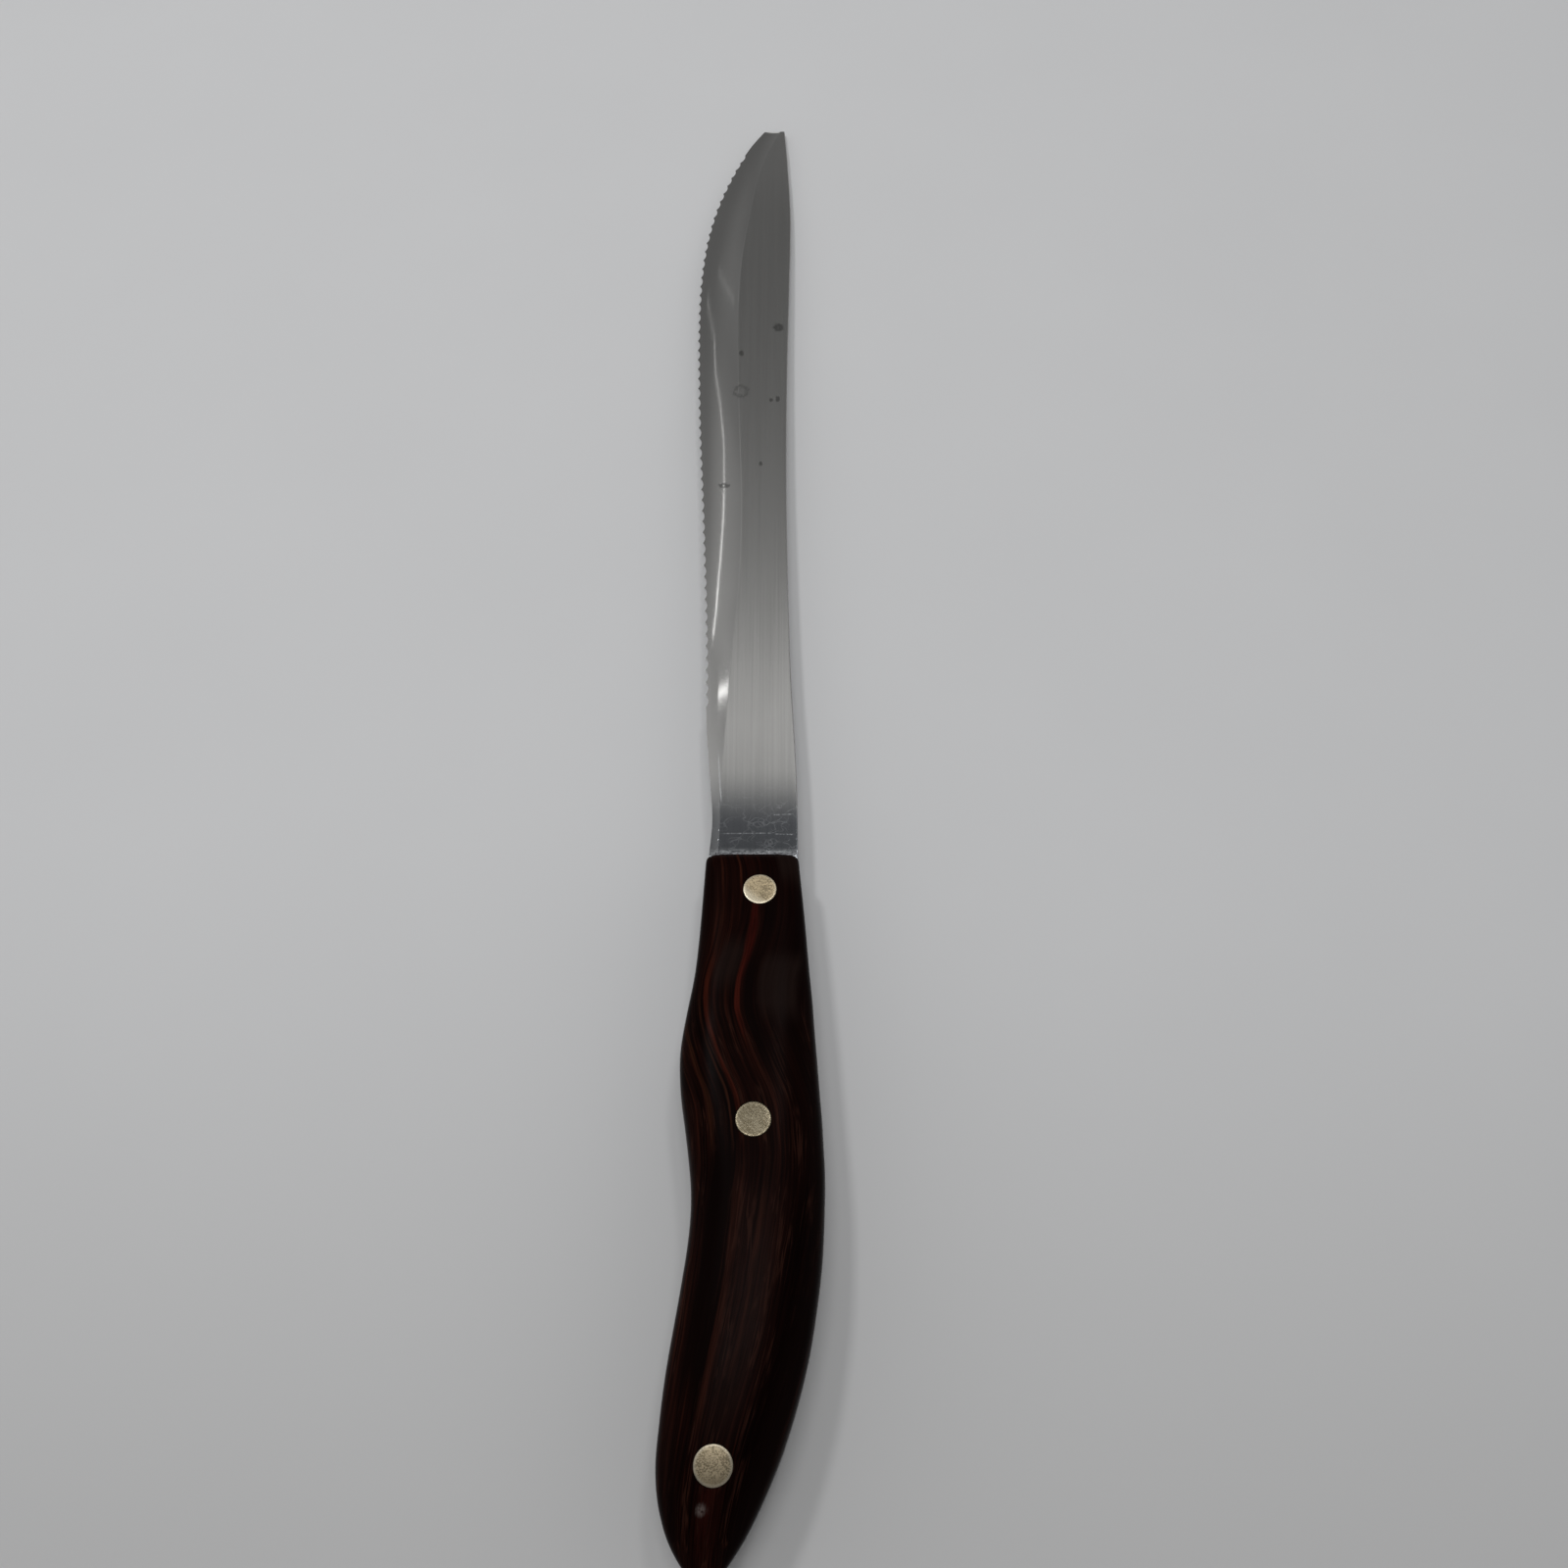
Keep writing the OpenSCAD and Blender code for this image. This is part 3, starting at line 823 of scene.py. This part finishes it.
# Each patch is painted lighter grey-brown: a painted sheen.
for across, start, end, half in painted_sheens:
    body = 1 - (g - across).math("ABSOLUTE").ease(half * 0.6, half)
    length = d.ease(start - 3, start + 2) * (1 - d.ease(end - 2, end + 4))
    resin_colour = wire.mix(body * length * (fibres * 0.3 + 0.6), resin_colour, painted_sheen_brown)
# A pale grey spot near the butt: a painted highlight.
butt_highlight_x, butt_highlight_y = (g - butt_highlight_across) * 0.75, d - butt_highlight_along
butt_highlight_away = (butt_highlight_x * butt_highlight_x + butt_highlight_y * butt_highlight_y).math("SQRT")
butt_highlight = 1 - (butt_highlight_away + hairs * 1.2 - 0.6).ease(0.1, 1.3)
butt_highlight = butt_highlight * wire.noise(g * 1.5 + 4, d * 1.3, 0, 2, 0.5).ease(0.25, 0.55)
resin_colour = wire.mix(butt_highlight * 0.9, resin_colour, butt_highlight_grey)
rub = wire.noise(g * 0.25, d * 0.2, h * 0.2, 4, 0.6)
resin_bump = wire.node(
    "ShaderNodeBump", {}, {"Strength": 0.25, "Distance": 0.02 * MM, "Height": threads * 0.7 + hairs * 0.5}
)
lay_finish(
    wire,
    {
        "Base Color": resin_colour,
        "Roughness": 0.2 + rub * 0.16,
        "Specular IOR Level": 0.01,
        "Normal": resin_bump,
    },
)

for scale, swapped, node in ((left_scale, 0, "left_scale"), (right_scale, 1, "right_scale")):
    store_flow(scale.data, swapped)
    scale.data.materials.clear()
    scale.data.materials.append(resin)
    smooth(scale.data, corner_angle=40)
    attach(scale, "root")
    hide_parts(node)

# Rivets.
# Three compression rivets of nickel silver, each a stud from the left pressed into a socket from the right.
# Their heads sit in counterbores and are ground flush with the scales, so they follow the grip's curves.
shank_diameter = 2.6 * MM
shank_clearance = 0.02 * MM
squeeze_gap = 0.3 * MM
rim_radius = 0.18 * MM
head_proud = 0.02 * MM
head_segments = 72
probe_height = 50 * MM
probe_reach = 200 * MM
head_radius = head_diameter / 2


def rivet_template(name, profile):
    """One rivet part, turned round its axis.

    A profile point is (radius, height, belongs to the top, drop below the top, reach to the shank's end).
    """
    profile = [(*entry, entry[0] / head_radius * entry[2]) for entry in profile]
    points, faces = turned([(p[0], p[1]) for p in profile], head_segments)
    mesh = bpy.data.meshes.new(name)
    mesh.from_pydata(points, [], faces)
    turn_outwards(mesh)
    for label, column in (("top", 2), ("drop", 3), ("reach", 4), ("spread", 5)):
        values = [profile[0][column]]
        for entry in profile[1:-1]:
            values += [entry[column]] * head_segments
        store(mesh, label, values + [profile[-1][column]])
    part = bpy.data.objects.new(name, mesh)
    bpy.context.collection.objects.link(part)
    return part


rim_start = head_radius - rim_radius
head_top = [(head_radius * s, head_depth, 1, 0, 0) for s in (0, 0.2, 0.4, 0.6, 0.75, 0.88)]
head_top += [
    (rim_start + rim_radius * math.sin(a), head_depth, 1, rim_radius * (1 - math.cos(a)), 0)
    for a in np.radians([0, 25, 50, 75, 90])
]
head_seat = [(head_radius, 0, 0, 0, 0)]
stud_profile = head_top + head_seat + [
    (shank_diameter / 2, 0, 0, 0, 0), (shank_diameter / 2, 0, 0, 0, 1), (0, 0, 0, 0, 1),
]
bore_radius = shank_diameter / 2 + shank_clearance
socket_profile = head_top + head_seat + [
    (barrel_diameter / 2, 0, 0, 0, 0), (barrel_diameter / 2, 0, 0, 0, 1), (bore_radius, 0, 0, 0, 1),
    (bore_radius, 0, 0, 0, 0), (0, 0, 0, 0, 0),
]
stud_part = rivet_template("stud_part", stud_profile)
socket_part = rivet_template("socket_part", socket_profile)

rivet_tree, rivet = new_tree(
    "flush_rivets",
    {
        "Part": "NodeSocketObject",
        "Slab": "NodeSocketObject",
        "Facing": "NodeSocketFloat",
        "Proud": "NodeSocketFloat",
        "Squeeze Gap": "NodeSocketFloat",
        "Metal": "NodeSocketMaterial",
    },
)
wire = Wire(rivet_tree)
part_shape = wire.node("GeometryNodeObjectInfo", {}, {"Object": rivet["Part"]}, "Geometry")
slab_shape = wire.node("GeometryNodeObjectInfo", {}, {"Object": rivet["Slab"]}, "Geometry")
stood = wire.node("GeometryNodeInstanceOnPoints", {}, {"Points": rivet["Geometry"], "Instance": part_shape})
loose = wire.node("GeometryNodeRealizeInstances", {}, {0: stood})
here = wire.node("GeometryNodeInputPosition")
here_x, here_y, _ = here.parts()
over = here.vector(here_x, here_y, rivet["Facing"] * probe_height)
down = here.vector(0, 0, rivet["Facing"] * -1)
found = wire.node(
    "GeometryNodeRaycast", {},
    {
        "Target Geometry": slab_shape, "Source Position": over, "Ray Direction": down,
        "Ray Length": probe_reach,
    },
    "Hit Position",
).parts()[2]
top, drop, reach = (kept(rivet_tree, label) for label in ("top", "drop", "reach"))
seat = kept(rivet_tree, "seat")
mid_z = float(grip_face[2])
seat_z = mid_z + rivet["Facing"] * seat
end_z = mid_z + rivet["Facing"] * (rivet["Squeeze Gap"] - seat)
low_z = seat_z + reach * (end_z - seat_z)
top_z = found + rivet["Facing"] * (rivet["Proud"] - drop)
ground_off = here.vector(here_x, here_y, low_z + top * (top_z - low_z))
flush = wire.node("GeometryNodeSetPosition", {}, {"Geometry": loose, "Position": ground_off})
close_tree(rivet_tree, flush, rivet["Metal"])

# Nickel silver: dull patina with fine rubbed specks; the front and rear heads are painted lighter as sheen,
# the rims and the front head's lower left side carry painted highlights, and the rear head's butt side a
# painted shade
tarnish = (0.104, 0.086, 0.055, 1)
rubbed_nickel = (0.255, 0.222, 0.156, 1)
front_sheen_gold = (0.94, 0.755, 0.48, 1)
rear_sheen_gold = (0.66, 0.53, 0.345, 1)
rear_shade_brown = (0.25, 0.205, 0.135, 1)
rim_highlight_grey = (0.6, 0.55, 0.44, 1)
front_glint_colour = (0.95, 0.87, 0.68, 1)
(front_x, front_y, _), _, (_, rear_y, _) = np.array(rivets) / MM
nickel, wire = new_finish("nickel_silver")
x, y, z = in_millimetres(wire)
spread = wire.node("ShaderNodeAttribute", {"attribute_name": "spread"}, {}, "Fac")
blotches = wire.noise(x * 0.55, y * 0.55, z * 0.5, 3, 0.6)
speckle = wire.noise(x * 4.2 + 7, y * 4.2, z * 2, 4, 0.7)
rub_lines = wire.noise(x * 2.2 + y * 2.2, (y - x) * 0.3, z, 3, 0.6)
patina = (blotches * 0.2 + speckle * 0.6 + rub_lines * 0.2).ease(0.44, 0.56)
rim = spread.ease(0.8, 0.95)
front_head = y.ease(-25, -15)
rear_head = 1 - y.ease(-90, -80)
front_glint_share = spread * ((float(front_y) - y) * 0.24 - (x - float(front_x)) * 0.2).ease(0.2, 0.75)
rear_shade_share = spread * ((float(rear_y) - y) * 0.3).ease(0.35, 0.6) * (1 - rim)
nickel_colour = wire.mix(patina, tarnish, rubbed_nickel)
# The front and rear heads are painted lighter and warmer than the middle one: painted sheen over the rubbed
# specks.
nickel_colour = wire.mix(front_head * (patina * 0.5 + 0.24), nickel_colour, front_sheen_gold)
nickel_colour = wire.mix(rear_head * (patina * 0.3 + 0.1), nickel_colour, rear_sheen_gold)
# The rear head's butt side is painted darker brown: a painted shade.
nickel_colour = wire.mix(rear_shade_share * rear_head * 0.6, nickel_colour, rear_shade_brown)
# The front and rear heads' rims are painted lighter: a painted highlight.
nickel_colour = wire.mix(rim * (front_head + rear_head) * 0.45, nickel_colour, rim_highlight_grey)
# The front head's lower left side is painted bright: a painted highlight.
nickel_colour = wire.mix(front_glint_share * front_head * 0.75, nickel_colour, front_glint_colour)
nickel_bump = wire.node(
    "ShaderNodeBump", {}, {"Strength": 0.5, "Distance": 0.03 * MM, "Height": speckle * 0.7 + rub_lines * 0.3}
)
lay_finish(
    wire,
    {
        "Base Color": nickel_colour,
        "Metallic": 1.0,
        "Roughness": 0.24 - patina * 0.06 + rub_lines * 0.08 + rear_head * 0.12 + rim * 0.08,
        "Normal": nickel_bump,
    },
)


def set_rivets(name, part, slab, facing):
    """The three studs or sockets, stood at their places and ground flush."""
    mesh = bpy.data.meshes.new(name)
    mesh.from_pydata([tuple(grip_face + (px, py, 0)) for px, py, _ in rivets], [], [])
    store(mesh, "seat", [seat for _, _, seat in rivets])
    piece = bpy.data.objects.new(name, mesh)
    bpy.context.collection.objects.link(piece)
    make_by(
        rivet_tree, piece,
        {
            "Part": part, "Slab": slab, "Facing": float(facing), "Proud": head_proud,
            "Squeeze Gap": squeeze_gap, "Metal": nickel,
        },
    )
    turn_outwards(piece.data)
    smooth(piece.data, corner_angle=50)
    return piece


studs = set_rivets("rivet_studs", stud_part, left_slab, 1)
sockets = set_rivets("rivet_sockets", socket_part, right_slab, -1)
for spare in (stud_part, socket_part, left_slab, right_slab):
    bpy.data.objects.remove(spare)
for piece, half in ((studs, "stud"), (sockets, "socket")):
    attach(piece, "root")
    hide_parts(*(place + "_rivet_" + half for place in ("front", "middle", "rear")))

# Floor.
# A pale smooth table top. The knife lies on the belly of its right scale and on its tip, a little nose down,
# so the table leans by that much against the knife's own mid plane.
table_clearance = 0.05 * MM
floor_reach = 3.0
table_pale = (0.72, 0.725, 0.735, 1)
table_paler = (0.75, 0.755, 0.765, 1)
table_painted_shade = (0.575, 0.575, 0.575, 1)
belly = grip_face[2] - steel_thickness / 2 - scale_top(scale_places) - table_clearance
tip_under = grip_face[2] - tip_thickness / 2 - table_clearance
floor_lean = np.max((tip_under - belly) / (blade_length + scale_places))
floor_mesh = bpy.data.meshes.new("table_top")
tip_y = grip_face[1] + blade_length
floor_mesh.from_pydata(
    [
        (sx * floor_reach, sy * floor_reach, tip_under + (sy * floor_reach - tip_y) * floor_lean)
        for sx, sy in ((-1, -1), (1, -1), (1, 1), (-1, 1))
    ],
    [], [(0, 1, 2, 3)],
)
floor = bpy.data.objects.new("table_top", floor_mesh)
bpy.context.collection.objects.link(floor)
table, wire = new_finish("pale_table")
x, y, _ = in_millimetres(wire)
mottle = wire.noise(x * 0.02, y * 0.02, 0, 3)
table_colour = wire.mix(mottle, table_pale, table_paler)
# The table is painted darker towards the camera: a painted shade.
table_colour = wire.mix(1 - y.ease(-190, 20), table_colour, table_painted_shade)
lay_finish(wire, {"Base Color": table_colour, "Roughness": 0.6})
floor_mesh.materials.append(table)

# Light.
# Three soft lamps, left, right and overhead, in a dim room whose wall ahead of the tip brightens with height.
# Slim tubes and a small lamp make the bright line and the glint that the hollow mirrors.
world = bpy.data.worlds.new("soft_room")
bpy.context.scene.world = world
world.use_nodes = True
world.node_tree.nodes.clear()
wire = Wire(world.node_tree)
look_x, look_y, look_z = wire.node("ShaderNodeTexCoord", {}, {}, "Generated").parts()


def by_height(stops):
    """Brightness by height above the horizon, from (degrees, level) pairs."""
    return wire.node(
        "ShaderNodeValToRGB",
        {"stops": [(math.sin(math.radians(angle)), (level,) * 3) for angle, level in stops]},
        {"Fac": look_z},
    )


ahead_level = by_height(
    [(0, 0.8), (20, 0.8), (31, 0.2), (36, 0.155), (38.7, 0.152), (43.6, 0.158), (46.2, 0.175),
     (48.9, 0.205), (51.6, 0.26), (53, 0.315), (54.4, 0.38), (55.85, 0.48), (57.3, 0.87), (59, 0.88),
     (60.4, 0.64), (61, 0.44), (62, 0.13), (63, 0.07), (66, 0.13), (80, 0.18)]
)
beside_level = by_height(
    [(0, 0.8), (20, 0.8), (31, 0.2), (35.5, 0.175), (38, 0.21), (40, 0.215), (42.5, 0.2), (44.5, 0.22),
     (46, 0.28), (48.9, 0.35), (51.6, 0.42), (53, 0.4), (54, 0.37), (56, 0.45), (57.5, 0.5), (59, 0.55),
     (60, 0.45), (61, 0.3), (64, 0.12), (80, 0.18)]
)
round_level = by_height([(0, 0.8), (22, 0.75), (36, 0.42), (55, 0.24), (68, 0.13), (90, 0.12)])
flat_run = (look_x * look_x + look_y * look_y + 0.0001).math("SQRT")
ahead, aside = look_y / flat_run, look_x / flat_run
facing_tip = (ahead * 0.985 - aside * 0.17).ease(0.8, 0.91)
sector_level = wire.mix(aside.ease(-0.07, -0.25), ahead_level, beside_level)
behind_share = 0.66 - look_z.ease(0.64, 0.86) * 0.53
round_share = behind_share + (1 - behind_share) * ahead.ease(-0.5, 0.5)
level = wire.mix(facing_tip, round_level * round_share, sector_level)
shine = wire.node("ShaderNodeBackground", {}, {"Color": level, "Strength": 1.0})
wire.node("ShaderNodeOutputWorld", {}, {"Surface": shine})

lamp_height = 1.0
lamps = (
    # one end, the other end, width, power
    ((-0.42, 0.28), (-0.42, 0.42), 0.14, 2.3),
    ((0.22, 0.28), (0.22, 0.4), 0.12, 0.95),
    ((-0.22, 0), (0.14, 0), 0.14, 1.65),
    ((-0.164, 1.24), (-0.346, 1.24), 0.012, 0.001),
    ((-0.089, 1.175), (-0.168, 1.118), 0.006, 0.0007),
    ((-0.168, 1.118), (-0.179, 1.065), 0.006, 0.0007),
    ((-0.179, 1.065), (-0.22, 1.021), 0.006, 0.0009),
    ((-0.22, 1.021), (-0.243, 0.969), 0.006, 0.0011),
    ((-0.243, 0.969), (-0.231, 0.901), 0.006, 0.0014),
    ((-0.231, 0.901), (-0.182, 0.79), 0.006, 0.0042),
    ((-0.182, 0.79), (-0.166, 0.735), 0.006, 0.0025),
    ((-0.235, 0.667), (-0.315, 0.69), 0.008, 0.0066),
)
for number, (start, end, lamp_width, power) in enumerate(lamps):
    lamp_data = bpy.data.lights.new("strip_lamp_%d" % number, "AREA")
    lamp_data.shape = "RECTANGLE"
    lamp_data.size = lamp_width
    lamp_data.size_y = math.dist(start, end)
    lamp_data.energy = power
    lamp = bpy.data.objects.new(lamp_data.name, lamp_data)
    lamp.location = ((start[0] + end[0]) / 2, (start[1] + end[1]) / 2, lamp_height)
    lamp.rotation_euler = (0, 0, math.atan2(start[0] - end[0], end[1] - start[1]))
    bpy.context.collection.objects.link(lamp)

# Camera.
# A plain lens above the butt that looks down along the knife, with the tip towards the top of the picture.
camera_place = np.array([6, -132.76, 268]) * MM
camera_tilt = 29.32
camera_lens = 35.1
camera_sensor = 36
camera = bpy.data.objects.new("camera", bpy.data.cameras.new("camera"))
camera.data.lens = camera_lens
camera.data.sensor_width = camera_sensor
camera.location = tuple(grip_face + camera_place)
camera.rotation_euler = (math.radians(camera_tilt), 0, 0)
bpy.context.collection.objects.link(camera)
bpy.context.scene.camera = camera
bpy.context.scene.view_settings.view_transform = "Standard"
